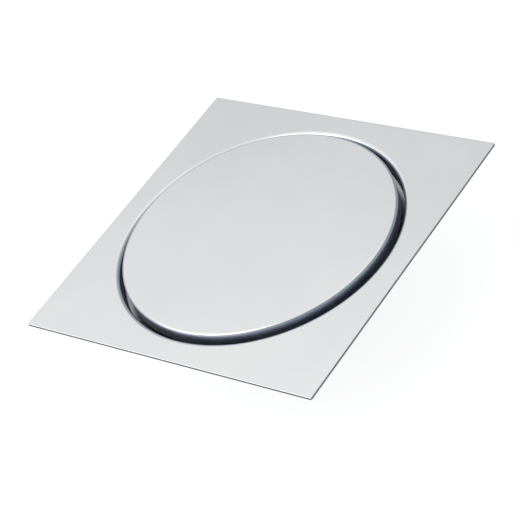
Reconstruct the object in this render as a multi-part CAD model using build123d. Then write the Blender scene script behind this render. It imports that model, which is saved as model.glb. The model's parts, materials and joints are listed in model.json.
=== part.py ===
from build123d import *
import math
import os

# Press-to-open floor drain: a square stainless frame plate with a round lid in it. Millimetres, +Z up.
# The origin is the centre of the outlet's lower end, on the drain's axis. Heights are measured from there.

# Frame plate and lid, pressed from the same sheet
SHEET = 1.2
PLATE_SIDE = 150.0
PLATE_TOP = 50.0
PLATE_CORNER = 0.5
PLATE_EDGE = 0.25
HOLE_R = 63.2
LIP_R = 1.2
COLLAR_DEPTH = 5.5
WELD = 1.2
LID_R = 61.2
LID_RISE = 2.5
SHOULDER_R = 1.2
SKIRT_DEPTH = 6.0

# Welded body: pan, cup and outlet
DISH_SHEET = 1.0
DISH_BEND = 2.0
DISH_GAP = 0.05
CHANNEL_Z = 42.0
LEDGE_Z = 40.0
LEDGE_R = 47.0
CUP_R = 40.0
CUP_FLANGE_R = 45.0
CUP_FLOOR_Z = 22.0
OUTLET_R = 25.0
OUTLET_BORE_R = 23.5
OUTLET_FLANGE_R = 31.0
OUTLET_FLANGE = 1.4
OUTLET_CHAMFER = 1.5
COLLAR_SEAT_R = 24.6
COLLAR_SEAT_Z = 12.0
FIN_REACH = 3.6
FIN_COUNT = 3

# Seat ring at the mouth of the cup
SEAT_TOP = 41.2
SEAT_FLANGE_R = 45.0
SEAT_BORE_R = 38.2
SEAT_LOWER_BORE_R = 36.8
SEAT_STEP_Z = 38.6
SEAT_BOTTOM = 33.0

# Strainer basket
BASKET_R = 35.6
BASKET_BORE_R = 34.0
BASKET_FLOOR_Z = 25.0
BASKET_FLOOR = 1.6
BASKET_LEDGE_R = 31.0
BASKET_RIM_Z = 39.8
BASKET_RIM_R = 37.9
BASKET_SHOULDER_R = 36.4
STRAINER_SHEET = 0.8
STRAINER_BORE_R = 9.8
STRAINER_UPSTAND = 2.6
STRAINER_HOLE_R = 1.5
STRAINER_ROWS = ((14.5, 12), (19.0, 16), (23.5, 20), (28.0, 24))
SLOT_COUNT = 16
SLOT_WIDTH = 3.0
SLOT_HEIGHT = 6.0
SEAL_WIRE_R = 0.63
SEAL_GROOVE_Z = 35.4
SEAL_GROOVE = 1.6
SEAL_GROOVE_R = 35.2

# Bridge that carries the click cartridge
BRIDGE_RING_R = 37.6
BRIDGE_BORE_R = 32.0
BRIDGE_LIP_R = 33.8
BRIDGE_TOP = 41.0
HUB_R = 14.0
HUB_TOP = 41.4
HUB_BOTTOM = 36.0
ARM_COUNT = 3
ARM_WIDTH = 6.0
ARM_BOTTOM = 38.0

# Click cartridge, about a rod that slides in it
RUNNING = 0.05
ROD_R = 4.0
TUBE_R = 9.0
TUBE_BOTTOM = 3.0
TUBE_TOP = 42.0
CAM_BORE_R = 7.4
SPRING_BORE_R = 6.2
SHOULDER_Z = 21.5
HEAD_FLANGE_R = 12.5
HEAD_FLANGE = 1.4
HEAD_PLUG_BOTTOM = 39.0
NUT_FLATS = 26.0
NUT_HEIGHT = 4.6
LOCK_WASHER = 0.4
CAP_HEIGHT = 2.5
WASHER_TOP = 23.0
PIN_R = 1.0
PIN_Z = 27.2
PIN_REACH = 8.1
PIN_PLAY = 0.2
ROD_TOP = 50.2
SPRING_COLLAR_Z = 11.0
SPRING_COLLAR = 1.5
SPRING_COLLAR_R = 5.9
TAIL_R = 2.5
TAIL_BOTTOM = 7.5
SPRING_R = 4.6
SPRING_WIRE_R = 0.4
SPRING_TURNS = 5

# Travel of the rod, and the turn of the cam ring that goes with it
PRESS_DOWN = 1.0
RISE_OPEN = 8.0
CAM_TURN = 45.0
CAM_STEPS = 28

# Moulded carrier under the lid
CARRIER_R = 59.8
CARRIER_BOTTOM = 49.3
BOSS_R = 10.0
BOSS_BOTTOM = 45.0
INSERT_R = 7.0
INSERT_TOP = 50.5
SEAL_WALL_R = (40.4, 42.8)
SEAL_WALL_BOTTOM = 44.2
RIB_COUNT = 12
RIB_WIDTH = 1.6
RIB_BOTTOM = 46.3
RIM_WALL_BOTTOM = 46.9
GASKET_R = (39.4, 43.8)
GASKET_BOTTOM = 42.5
GASKET_TOP = 46.0

LID_TOP = PLATE_TOP + LID_RISE
LID_UNDERSIDE = LID_TOP - SHEET
PLATE_UNDERSIDE = PLATE_TOP - SHEET


def turned(*outline):
    """A closed outline of (radius, height) points, turned about the drain's axis."""
    return revolve(Plane.XZ * make_face(Polyline(*outline, close=True)), Axis.Z)


def ring(inner, outer, bottom, top):
    """A plain ring of rectangular section."""
    return turned((inner, bottom), (outer, bottom), (outer, top), (inner, top))


def offset_path(path, distance):
    """The open path moved to its left by distance, with its corners still sharp."""
    spans = [Vector(*b) - Vector(*a) for a, b in zip(path, path[1:])]
    normals = [Vector(-s.Y, s.X) / s.length for s in spans]
    first = Vector(*path[0]) + normals[0] * distance
    last = Vector(*path[-1]) + normals[-1] * distance
    corners = []
    for point, before, after in zip(path[1:-1], normals, normals[1:]):
        corners.append(Vector(*point) + (before + after) * (distance / (1 + before.dot(after))))
    return [first, *corners, last]


def pressed_sheet(path, thickness, bend):
    """A pressed sheet turned about the axis. Its wet side follows path and its back lies to the left."""
    back = offset_path(path, thickness)
    wet_radii, back_radii = [], []
    for a, b, c in zip(path, path[1:], path[2:]):
        turns_left = (Vector(*b) - Vector(*a)).cross(Vector(*c) - Vector(*b)).Z > 0
        wet_radii.append(bend + thickness if turns_left else bend)
        back_radii.append(bend if turns_left else bend + thickness)
    wet = FilletPolyline(*path, radius=wet_radii)
    dry = FilletPolyline(*back, radius=back_radii)
    section = make_face([*wet.edges(), *dry.edges(), Line(wet @ 0, dry @ 0), Line(wet @ 1, dry @ 1)])
    return revolve(Plane.XZ * section, Axis.Z)


def frame_plate():
    """Square sheet with a round hole, its edge turned down into a collar, and the weld round the collar."""
    weld_inner = HOLE_R + SHEET + 2 * DISH_GAP + DISH_SHEET
    joint_r = weld_inner + WELD
    sheet = Pos(0, 0, PLATE_TOP - SHEET / 2) * Box(PLATE_SIDE, PLATE_SIDE, SHEET)
    sheet = fillet(sheet.edges().filter_by(Axis.Z), PLATE_CORNER)
    sheet = fillet(sheet.faces().sort_by(Axis.Z)[-1].edges(), PLATE_EDGE)
    sheet -= Pos(0, 0, PLATE_TOP - SHEET / 2) * Cylinder(joint_r, SHEET * 2)
    lip_start = (HOLE_R + LIP_R, PLATE_TOP)
    lip_end = (HOLE_R, PLATE_TOP - LIP_R)
    down = Polyline(
        lip_end,
        (HOLE_R, PLATE_TOP - COLLAR_DEPTH),
        (HOLE_R + SHEET, PLATE_TOP - COLLAR_DEPTH),
        (HOLE_R + SHEET, PLATE_UNDERSIDE),
        (weld_inner, PLATE_UNDERSIDE),
        (weld_inner, PLATE_UNDERSIDE - WELD),
        (joint_r, PLATE_UNDERSIDE),
        (joint_r, PLATE_TOP),
        lip_start,
    )
    lip = RadiusArc(lip_start, lip_end, -LIP_R)
    return sheet + revolve(Plane.XZ * make_face([*down.edges(), lip]), Axis.Z)


def channel_pan():
    """Pressed pan under the plate: outer wall, channel that slopes inwards, and a level ledge."""
    wall_r = HOLE_R + SHEET + DISH_GAP
    path = (
        (wall_r, PLATE_UNDERSIDE),
        (wall_r, CHANNEL_Z),
        (LEDGE_R, LEDGE_Z),
        (CUP_R, LEDGE_Z),
    )
    return pressed_sheet(path, DISH_SHEET, DISH_BEND)


def trap_cup():
    """Pressed cup, its flange welded under the pan's ledge. Its floor has the outlet's hole."""
    flange_top = LEDGE_Z - DISH_SHEET - DISH_GAP
    path = (
        (CUP_FLANGE_R, flange_top),
        (CUP_R, flange_top),
        (CUP_R, CUP_FLOOR_Z),
        (OUTLET_R + DISH_GAP, CUP_FLOOR_Z),
    )
    return pressed_sheet(path, DISH_SHEET, DISH_BEND)


def outlet_spigot():
    """Outlet tube with a flange welded under the cup and a groove for the rubber collar."""
    flange_top = CUP_FLOOR_Z - DISH_SHEET
    flange_bottom = flange_top - OUTLET_FLANGE
    return turned(
        (OUTLET_BORE_R, 0),
        (OUTLET_R - OUTLET_CHAMFER / 2, 0),
        (OUTLET_R, OUTLET_CHAMFER),
        (OUTLET_R, COLLAR_SEAT_Z),
        (COLLAR_SEAT_R, COLLAR_SEAT_Z),
        (COLLAR_SEAT_R, flange_bottom),
        (OUTLET_FLANGE_R, flange_bottom),
        (OUTLET_FLANGE_R, flange_top),
        (OUTLET_R, flange_top),
        (OUTLET_R, CUP_FLOOR_Z),
        (OUTLET_BORE_R, CUP_FLOOR_Z),
    )


def pipe_collar():
    """Rubber collar on the outlet, with fins that lean back as it is pushed into a pipe."""
    top = CUP_FLOOR_Z - DISH_SHEET - OUTLET_FLANGE - DISH_GAP
    bottom = COLLAR_SEAT_Z + DISH_GAP
    inner = COLLAR_SEAT_R + DISH_GAP
    base = inner + 1.8
    pitch = (top - bottom) / FIN_COUNT
    collar = ring(inner, base, bottom, top)
    for index in range(FIN_COUNT):
        root = bottom + index * pitch
        collar += turned(
            (base - 0.4, root),
            (base, root),
            (base + FIN_REACH, root + 1.0),
            (base + FIN_REACH, root + 1.6),
            (base - 0.4, root + 1.5),
        )
    return collar


def seat_ring():
    """Turned ring in the mouth of the cup: sealing face on top, step for the basket inside."""
    chamfer = 0.7
    return turned(
        (SEAT_LOWER_BORE_R, SEAT_BOTTOM),
        (CUP_R - DISH_GAP, SEAT_BOTTOM),
        (CUP_R - DISH_GAP, LEDGE_Z),
        (SEAT_FLANGE_R, LEDGE_Z),
        (SEAT_FLANGE_R, SEAT_TOP - chamfer),
        (SEAT_FLANGE_R - chamfer, SEAT_TOP),
        (SEAT_BORE_R, SEAT_TOP),
        (SEAT_BORE_R, SEAT_STEP_Z),
        (SEAT_LOWER_BORE_R, SEAT_STEP_Z),
    )


def strainer_basket():
    """Moulded basket: flanged rim, seal groove, slotted wall and a ledge that the strainer lies on."""
    ledge_top = BASKET_FLOOR_Z + BASKET_FLOOR
    flange_bottom = SEAT_STEP_Z + RUNNING
    groove_top = SEAL_GROOVE_Z + SEAL_GROOVE
    basket = turned(
        (BASKET_LEDGE_R, BASKET_FLOOR_Z),
        (BASKET_R, BASKET_FLOOR_Z),
        (BASKET_R, SEAL_GROOVE_Z - 1.0),
        (BASKET_SHOULDER_R, SEAL_GROOVE_Z - 1.0),
        (BASKET_SHOULDER_R, SEAL_GROOVE_Z),
        (SEAL_GROOVE_R, SEAL_GROOVE_Z),
        (SEAL_GROOVE_R, groove_top),
        (BASKET_SHOULDER_R, groove_top),
        (BASKET_SHOULDER_R, flange_bottom),
        (BASKET_RIM_R, flange_bottom),
        (BASKET_RIM_R, BASKET_RIM_Z),
        (BASKET_BORE_R, BASKET_RIM_Z),
        (BASKET_BORE_R, ledge_top),
        (BASKET_LEDGE_R, ledge_top),
    )
    slot_middle = ledge_top + STRAINER_SHEET + 0.6 + SLOT_HEIGHT / 2
    slot = Box(BASKET_FLOOR * 3, SLOT_WIDTH, SLOT_HEIGHT)
    slot = fillet(slot.edges().filter_by(Axis.X), SLOT_WIDTH * 0.45)
    wall_middle = (BASKET_R + BASKET_BORE_R) / 2
    return basket - [Pos(0, 0, slot_middle) * place * slot for place in PolarLocations(wall_middle, SLOT_COUNT)]


def strainer_plate():
    """Perforated steel disc pressed into the basket. Its middle hole is drawn up into a short collar."""
    bottom = BASKET_FLOOR_Z + BASKET_FLOOR
    top = bottom + STRAINER_SHEET
    upstand_r = STRAINER_BORE_R + STRAINER_SHEET
    disc = turned(
        (STRAINER_BORE_R, bottom),
        (BASKET_BORE_R - RUNNING, bottom),
        (BASKET_BORE_R - RUNNING, top),
        (upstand_r, top),
        (upstand_r, bottom + STRAINER_UPSTAND),
        (STRAINER_BORE_R, bottom + STRAINER_UPSTAND),
    )
    middle = (bottom + top) / 2
    hole = Cylinder(STRAINER_HOLE_R, STRAINER_SHEET * 2)
    cuts = []
    for row_r, count in STRAINER_ROWS:
        cuts += [Pos(0, 0, middle) * place * hole for place in PolarLocations(row_r, count)]
    return disc - cuts


def basket_seal():
    """O-ring in the basket's groove."""
    middle = SEAL_GROOVE_Z + SEAL_GROOVE / 2
    return Pos(0, 0, middle) * Torus(SEAL_GROOVE_R + SEAL_WIRE_R + RUNNING / 2, SEAL_WIRE_R)


def insert_bridge():
    """Three-armed bridge across the basket, with a hub that the cartridge hangs in."""
    ring_bottom = BASKET_RIM_Z + RUNNING
    lip_bottom = ring_bottom - 2.3
    rim = turned(
        (BRIDGE_BORE_R, lip_bottom),
        (BRIDGE_LIP_R, lip_bottom),
        (BRIDGE_LIP_R, ring_bottom),
        (BRIDGE_RING_R, ring_bottom),
        (BRIDGE_RING_R, BRIDGE_TOP),
        (BRIDGE_BORE_R, BRIDGE_TOP),
    )
    hub = ring(TUBE_R + RUNNING, HUB_R, HUB_BOTTOM, HUB_TOP)
    arm_inner = HUB_R - 1.0
    arm_outer = BRIDGE_BORE_R + 0.8
    arm_height = BRIDGE_TOP - ARM_BOTTOM
    arm = Pos(0, 0, (BRIDGE_TOP + ARM_BOTTOM) / 2) * Box(arm_outer - arm_inner, ARM_WIDTH, arm_height)
    arm = chamfer(arm.faces().sort_by(Axis.Z)[-1].edges().filter_by(Axis.X), 0.8)
    bridge = rim + hub
    for place in PolarLocations((arm_inner + arm_outer) / 2, ARM_COUNT, start_angle=90):
        bridge += place * arm
    return bridge


def bridge_washer():
    """Rubber washer between the hub and the cartridge's flange."""
    return ring(TUBE_R + RUNNING, HEAD_FLANGE_R, HUB_TOP, TUBE_TOP)


def cartridge_tube():
    """Threaded tube: wide bore for the cam ring with two keyways, narrower bore for the spring."""
    tube = turned(
        (SPRING_BORE_R, TUBE_BOTTOM),
        (TUBE_R - 0.6, TUBE_BOTTOM),
        (TUBE_R, TUBE_BOTTOM + 0.6),
        (TUBE_R, TUBE_TOP),
        (CAM_BORE_R, TUBE_TOP),
        (CAM_BORE_R, SHOULDER_Z),
        (SPRING_BORE_R, SHOULDER_Z),
    )
    keyway_bottom = PIN_Z - PRESS_DOWN - PIN_R - PIN_PLAY
    keyway_r = PIN_REACH + PIN_PLAY
    keyway_height = TUBE_TOP - keyway_bottom
    keyway_width = 2 * (PIN_R + PIN_PLAY)
    keyway = Pos(0, 0, keyway_bottom + keyway_height / 2) * Box(2 * keyway_r, keyway_width, keyway_height)
    return tube - keyway


def cartridge_head():
    """Flanged head screwed into the tube: guides the rod and holds the wiper in its counterbore."""
    bore = ROD_R + RUNNING
    flange_top = TUBE_TOP + HEAD_FLANGE
    wiper_floor = flange_top - 1.5
    head = turned(
        (bore, HEAD_PLUG_BOTTOM),
        (CAM_BORE_R - RUNNING, HEAD_PLUG_BOTTOM),
        (CAM_BORE_R - RUNNING, TUBE_TOP),
        (HEAD_FLANGE_R, TUBE_TOP),
        (HEAD_FLANGE_R, flange_top - 0.4),
        (HEAD_FLANGE_R - 0.4, flange_top),
        (SPRING_BORE_R, flange_top),
        (SPRING_BORE_R, wiper_floor),
        (bore, wiper_floor),
    )
    notch_r = 1.2
    notch = Pos(0, 0, flange_top) * Cylinder(notch_r, HEAD_FLANGE)
    return head - [place * notch for place in PolarLocations(HEAD_FLANGE_R - 2.6, 4)]


def rod_wiper():
    """Rubber wiper ring around the rod, in the head's counterbore."""
    top = TUBE_TOP + HEAD_FLANGE - 0.1
    return ring(ROD_R + 0.3, SPRING_BORE_R - RUNNING, top - 1.3, top)


def cartridge_nut():
    """Hexagon nut that clamps the cartridge up against the hub."""
    top = HUB_BOTTOM - LOCK_WASHER
    hexagon = RegularPolygon(NUT_FLATS / 2, 6, major_radius=False)
    nut = Pos(0, 0, top - NUT_HEIGHT) * extrude(hexagon, NUT_HEIGHT)
    corner_r = NUT_FLATS / 2 / math.cos(math.pi / 6)
    rounding = turned(
        (0, top),
        (NUT_FLATS / 2 - 0.4, top),
        (corner_r, top - 1.2),
        (corner_r, top - NUT_HEIGHT + 1.2),
        (NUT_FLATS / 2 - 0.4, top - NUT_HEIGHT),
        (0, top - NUT_HEIGHT),
    )
    return (nut & rounding) - ring(0, TUBE_R + RUNNING, top - NUT_HEIGHT - 1, top + 1)


def lock_washer():
    """Thin lock washer between the nut and the hub."""
    return ring(TUBE_R + RUNNING, NUT_FLATS / 2 - 0.4, HUB_BOTTOM - LOCK_WASHER, HUB_BOTTOM)


def cartridge_cap():
    """Cap screwed into the foot of the tube, with a small drain hole. The spring stands on it."""
    return ring(TAIL_R - 0.5, SPRING_BORE_R - RUNNING, TUBE_BOTTOM, TUBE_BOTTOM + CAP_HEIGHT)


def cam_washer():
    """Washer on the tube's shoulder that the cam ring turns on."""
    return ring(ROD_R + 0.15, CAM_BORE_R - RUNNING, SHOULDER_Z, WASHER_TOP)


def cam_ring():
    """Ring with two helical slots: the cross pin turns it as the rod rises."""
    cam = ring(ROD_R + RUNNING, CAM_BORE_R - RUNNING, WASHER_TOP + RUNNING, HEAD_PLUG_BOTTOM - 2 * RUNNING)
    cutter = Rot(Y=90) * Cylinder(PIN_R + PIN_PLAY, 2 * CAM_BORE_R + 1)
    low = -PRESS_DOWN - PIN_PLAY / 2
    high = RISE_OPEN + PIN_PLAY / 2
    cuts = []
    for step in range(CAM_STEPS + 1):
        rise = low + (high - low) * step / CAM_STEPS
        cuts.append(Pos(0, 0, PIN_Z + rise) * Rot(Z=-CAM_TURN * rise / RISE_OPEN) * cutter)
    return cam - cuts


def cross_pin():
    """Pin through the rod, out through the cam ring's slots and into the tube's keyways."""
    return Pos(0, 0, PIN_Z) * Rot(Y=90) * Cylinder(PIN_R, 2 * PIN_REACH)


def plunger_rod():
    """Sliding rod: lid on its top, cross pin through its middle, spring under its collar."""
    collar_top = SPRING_COLLAR_Z + SPRING_COLLAR
    rod = turned(
        (0, TAIL_BOTTOM),
        (TAIL_R - 0.4, TAIL_BOTTOM),
        (TAIL_R, TAIL_BOTTOM + 0.4),
        (TAIL_R, SPRING_COLLAR_Z),
        (SPRING_COLLAR_R, SPRING_COLLAR_Z),
        (SPRING_COLLAR_R, collar_top),
        (ROD_R, collar_top),
        (ROD_R, ROD_TOP - 0.6),
        (ROD_R - 0.6, ROD_TOP),
        (0, ROD_TOP),
    )
    return rod - cross_pin()


def return_spring():
    """Wire spring between the cap and the rod's collar, nearly closed while the lid is down."""
    bottom = TUBE_BOTTOM + CAP_HEIGHT + SPRING_WIRE_R + RUNNING
    height = SPRING_COLLAR_Z - SPRING_WIRE_R - RUNNING - bottom
    path = Helix(height / SPRING_TURNS, height, SPRING_R, center=(0, 0, bottom))
    section = Plane(origin=path @ 0, z_dir=path % 0) * Circle(SPRING_WIRE_R)
    return sweep(section, path=path, is_frenet=True)


def lid_disc():
    """Blank round cover pressed from sheet, with a rounded shoulder and a short skirt."""
    skirt_bottom = LID_TOP - SKIRT_DEPTH
    shoulder_start = (LID_R - SHOULDER_R, LID_TOP)
    shoulder_end = (LID_R, LID_TOP - SHOULDER_R)
    under = Polyline(
        shoulder_end,
        (LID_R, skirt_bottom),
        (LID_R - SHEET, skirt_bottom),
        (LID_R - SHEET, LID_UNDERSIDE),
        (0, LID_UNDERSIDE),
        (0, LID_TOP),
        shoulder_start,
    )
    shoulder = RadiusArc(shoulder_start, shoulder_end, SHOULDER_R)
    return revolve(Plane.XZ * make_face([*under.edges(), shoulder]), Axis.Z)


def lid_carrier():
    """Moulded carrier bonded under the cover: boss, gasket wall, rim and radial ribs."""
    wall_inner, wall_outer = SEAL_WALL_R
    overlap = 0.2
    carrier = ring(0, CARRIER_R, CARRIER_BOTTOM, LID_UNDERSIDE)
    carrier += ring(0, BOSS_R, BOSS_BOTTOM, CARRIER_BOTTOM + overlap)
    carrier += ring(wall_inner, wall_outer, SEAL_WALL_BOTTOM, CARRIER_BOTTOM + overlap)
    carrier += ring(CARRIER_R - RIB_WIDTH, CARRIER_R, RIM_WALL_BOTTOM, CARRIER_BOTTOM + overlap)
    rib_height = CARRIER_BOTTOM + overlap - RIB_BOTTOM
    rib_middle = RIB_BOTTOM + rib_height / 2
    outer_end = CARRIER_R - RIB_WIDTH - 1.0
    for start, end in ((BOSS_R - 1, wall_inner + 0.5), (wall_outer - 0.5, outer_end)):
        rib = Pos(0, 0, rib_middle) * Box(end - start, RIB_WIDTH, rib_height)
        for place in PolarLocations((start + end) / 2, RIB_COUNT):
            carrier += place * rib
    return carrier - ring(0, INSERT_R, BOSS_BOTTOM - 1, INSERT_TOP + 0.1)


def lid_insert():
    """Brass insert in the carrier's boss, which the top of the rod runs in."""
    return ring(ROD_R + RUNNING, INSERT_R - RUNNING, BOSS_BOTTOM, INSERT_TOP)


def lid_gasket():
    """Rubber gasket pushed onto the carrier's round wall. It meets the seat ring when the lid is pressed."""
    wall_inner, wall_outer = SEAL_WALL_R
    inner, outer = GASKET_R
    groove_bottom = SEAL_WALL_BOTTOM - RUNNING
    return turned(
        (inner + 0.8, GASKET_BOTTOM),
        (outer - 0.8, GASKET_BOTTOM),
        (outer, GASKET_BOTTOM + 0.7),
        (outer, GASKET_TOP),
        (wall_outer + RUNNING, GASKET_TOP),
        (wall_outer + RUNNING, groove_bottom),
        (wall_inner - RUNNING, groove_bottom),
        (wall_inner - RUNNING, GASKET_TOP),
        (inner, GASKET_TOP),
        (inner, GASKET_BOTTOM + 0.7),
    )


PARTS = {
    "frame_plate": frame_plate,
    "channel_pan": channel_pan,
    "trap_cup": trap_cup,
    "outlet_spigot": outlet_spigot,
    "pipe_collar": pipe_collar,
    "seat_ring": seat_ring,
    "strainer_basket": strainer_basket,
    "strainer_plate": strainer_plate,
    "basket_seal": basket_seal,
    "insert_bridge": insert_bridge,
    "bridge_washer": bridge_washer,
    "cartridge_tube": cartridge_tube,
    "cartridge_head": cartridge_head,
    "rod_wiper": rod_wiper,
    "cartridge_nut": cartridge_nut,
    "lock_washer": lock_washer,
    "cartridge_cap": cartridge_cap,
    "cam_washer": cam_washer,
    "cam_ring": cam_ring,
    "cross_pin": cross_pin,
    "plunger_rod": plunger_rod,
    "return_spring": return_spring,
    "lid_disc": lid_disc,
    "lid_carrier": lid_carrier,
    "lid_insert": lid_insert,
    "lid_gasket": lid_gasket,
}

os.makedirs("parts", exist_ok=True)
for node, make in PARTS.items():
    export_step(make(), f"parts/{node}.step")
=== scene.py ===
import json
import math
from functools import cache

import bmesh
import bpy
from mathutils import Matrix, Vector


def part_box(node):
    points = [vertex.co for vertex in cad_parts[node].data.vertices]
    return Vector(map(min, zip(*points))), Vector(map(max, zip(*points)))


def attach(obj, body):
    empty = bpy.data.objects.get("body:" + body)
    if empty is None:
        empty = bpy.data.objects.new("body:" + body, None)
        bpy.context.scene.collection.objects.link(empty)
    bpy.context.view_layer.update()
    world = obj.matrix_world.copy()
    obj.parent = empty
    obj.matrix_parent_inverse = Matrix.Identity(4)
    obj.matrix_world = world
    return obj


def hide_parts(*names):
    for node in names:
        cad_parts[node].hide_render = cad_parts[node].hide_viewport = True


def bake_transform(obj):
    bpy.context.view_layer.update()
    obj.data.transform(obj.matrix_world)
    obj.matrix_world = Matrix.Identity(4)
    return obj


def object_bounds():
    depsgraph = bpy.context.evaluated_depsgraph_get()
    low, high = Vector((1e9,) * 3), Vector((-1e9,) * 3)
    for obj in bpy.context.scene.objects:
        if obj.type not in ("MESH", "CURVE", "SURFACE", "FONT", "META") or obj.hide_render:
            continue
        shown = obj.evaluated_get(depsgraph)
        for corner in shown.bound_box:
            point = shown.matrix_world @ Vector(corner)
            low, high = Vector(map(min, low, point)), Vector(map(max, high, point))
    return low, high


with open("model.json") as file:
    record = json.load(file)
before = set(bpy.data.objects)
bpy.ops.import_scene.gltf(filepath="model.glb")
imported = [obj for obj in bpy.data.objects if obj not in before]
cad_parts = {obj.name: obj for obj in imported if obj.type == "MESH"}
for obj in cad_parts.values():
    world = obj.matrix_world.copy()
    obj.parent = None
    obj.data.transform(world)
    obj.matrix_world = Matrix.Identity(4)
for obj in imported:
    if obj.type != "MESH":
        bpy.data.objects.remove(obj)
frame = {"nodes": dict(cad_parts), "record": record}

CAD_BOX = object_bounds()
MM = 0.001


@cache
def low(node):
    """Height of the node's lowest point, in mm."""
    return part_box(node)[0].z / MM


@cache
def high(node):
    """Height of the node's highest point, in mm."""
    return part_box(node)[1].z / MM


@cache
def reach(node):
    """How far the node reaches from the drain's axis along X, in mm."""
    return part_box(node)[1].x / MM


# Sizes in mm, and counts. Heights and outer sizes come from the frame; these it doesn't state.
PLATE_TOP = high("frame_plate")
PLATE_HALF = reach("frame_plate")
PLATE_CORNER = 0.5
PLATE_EDGE = 0.25
SHEET = 1.2
HOLE_R = 63.2
LIP_R = 2.0
SHOULDER_R = 1.1
FIT = 0.05
PLATE_WELD = 1.2
CUP_WELD = 0.95
OUTLET_WELD = 1.2
PAN_SHEET = 1.0
PAN_BEND = 2.0
CHANNEL_Z = 42.0
LEDGE_R = 47.0
LEDGE_Z = 40.0
CUP_R = 40.0
OUTLET_R = 25.0
OUTLET_BORE_R = 23.5
OUTLET_FLANGE = 1.4
OUTLET_CHAMFER = 0.75
OUTLET_CHAMFER_Z = 1.5
COLLAR_SEAT_R = 24.6
COLLAR_SEAT_Z = 12.0
COLLAR_WALL = 1.8
FIN_COUNT = 3
FIN_TIP_Z = (1.0, 1.6)
FIN_ROOT_Z = 1.52
FIN_FOOT = 0.4
SEAT_BORE_R = 38.2
SEAT_LOWER_BORE_R = 36.8
SEAT_STEP_Z = 38.6
BASKET_R = 35.6
BASKET_BORE_R = 34.0
BASKET_SHOULDER_R = 36.4
BASKET_LEDGE_R = 31.0
BASKET_SHOULDER = 1.0
SEAL_GROOVE_Z = 35.4
SEAL_GROOVE = 1.6
SEAL_GROOVE_R = 35.2
SEAL_WIRE_R = 0.63
SLOT_COUNT = 16
SLOT_WIDTH = 3.0
SLOT_HEIGHT = 6.0
SLOT_RISE = 0.6
STRAINER_BORE_R = 9.8
STRAINER_SHEET = 0.8
STRAINER_HOLE_R = 1.5
STRAINER_ROWS = ((14.5, 12), (19.0, 16), (23.5, 20), (28.0, 24))
BRIDGE_BORE_R = 32.0
BRIDGE_LIP_R = 33.8
BRIDGE_LIP = 2.3
HUB_PROUD = 0.4
HUB_R = 14.0
HUB_BOTTOM = 36.0
ARM_WIDTH = 6.0
ARM_BOTTOM = 38.0
ROD_R = 4.0
ROD_PITCH = 1.25
ROD_THREAD_DEPTH = 0.5
TUBE_R = 9.0
TUBE_CHAMFER = 0.6
THREAD_PITCH = 1.5
THREAD_DEPTH = 0.6
PLAIN_FOOT = 1.5
PLAIN_TOP = 2.5
WIPER_DEPTH = 1.5
HEAD_NOTCH_R = 1.2
HEAD_NOTCH_INSET = 2.6
HEAD_NOTCH_DEPTH = 0.7
TOOTH_COUNT = 18
TOOTH_DEPTH = 0.9
TOOTH_GAP = 0.35
CAP_HOLE_R = 2.0
CAP_SLOT = 1.6
CAM_BORE_R = 7.4
SPRING_BORE_R = 6.2
SHOULDER_Z = 21.5
PIN_R = 1.0
PIN_PLAY = 0.2
PRESS_DOWN = 1.0
SPRING_COLLAR = 1.5
SPRING_COLLAR_Z = 11.0
SPRING_COLLAR_R = 5.9
TAIL_R = 2.5
SPRING_R = 4.6
SPRING_WIRE_R = 0.4
SPRING_TURNS = 5
CARRIER_R = 59.8
CARRIER_BOTTOM = 49.3
BOSS_R = 10.0
INSERT_R = 7.0
KNURL_WAVES = 30
KNURL_DEPTH = 0.25
SEAL_WALL_R = (40.4, 42.8)
SEAL_WALL_BOTTOM = 44.2
RIB_COUNT = 12
RIB_WIDTH = 1.6
RIB_BOTTOM = 46.3
RIM_WALL_BOTTOM = 46.9
GASKET_R = (39.4, 43.8)

# The photograph's view, aimed at the plate's top face
VIEW_AZIMUTH = 49.29
VIEW_ELEVATION = 39.04
VIEW_ROLL = -23.83
VIEW_DISTANCE = 0.8775
VIEW_LENS = 145.8
AIM = Vector((9.44, -13.72, PLATE_TOP)) * MM


# ---------------------------------------------------------------- meshes

def rounded(corners, steps=5):
    """Points round a closed outline of (radius, height, fillet) corners."""
    points = []
    count = len(corners)
    for index, (radius, height, fillet) in enumerate(corners):
        here = Vector((radius, height))
        if fillet == 0:
            points.append(here)
            continue
        before = (Vector(corners[index - 1][:2]) - here).normalized()
        after = (Vector(corners[(index + 1) % count][:2]) - here).normalized()
        half = before.angle(after) / 2
        centre = here + (before + after).normalized() * (fillet / math.sin(half))
        start = (here + before * fillet / math.tan(half) - centre).normalized()
        end = (here + after * fillet / math.tan(half) - centre).normalized()
        points += [centre + start.slerp(end, k / steps) * fillet for k in range(steps + 1)]
    return points


def eased(outline, fillet=0.2):
    """The same corners, each with the same small fillet. Points on the axis stay sharp."""
    return rounded([(r, z, fillet if r > 0 else 0) for r, z in outline], 3)


def finished(name, bm):
    """A smooth-shaded object of the bmesh, sharp only at real corners."""
    bmesh.ops.recalc_face_normals(bm, faces=bm.faces)
    mesh = bpy.data.meshes.new(name)
    bm.to_mesh(mesh)
    bm.free()
    piece = bpy.data.objects.new(name, mesh)
    bpy.context.scene.collection.objects.link(piece)
    return shaded(piece)


def shaded(piece):
    """The piece with smooth shading, sharp past 40 degrees, and its flat faces kept flat."""
    piece.data.shade_smooth()
    piece.data.set_sharp_from_angle(angle=math.radians(40))
    if not piece.modifiers:
        piece.modifiers.new("flat_faces", "WEIGHTED_NORMAL").keep_sharp = True
    return piece


def circle(bm, radius, height, angles):
    """Vertices of a level ring at the angles, or one vertex on the axis."""
    if radius < 1e-6:
        return [bm.verts.new((0, 0, height * MM))]
    far = radius * MM
    return [bm.verts.new((far * math.cos(a), far * math.sin(a), height * MM)) for a in angles]


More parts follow.
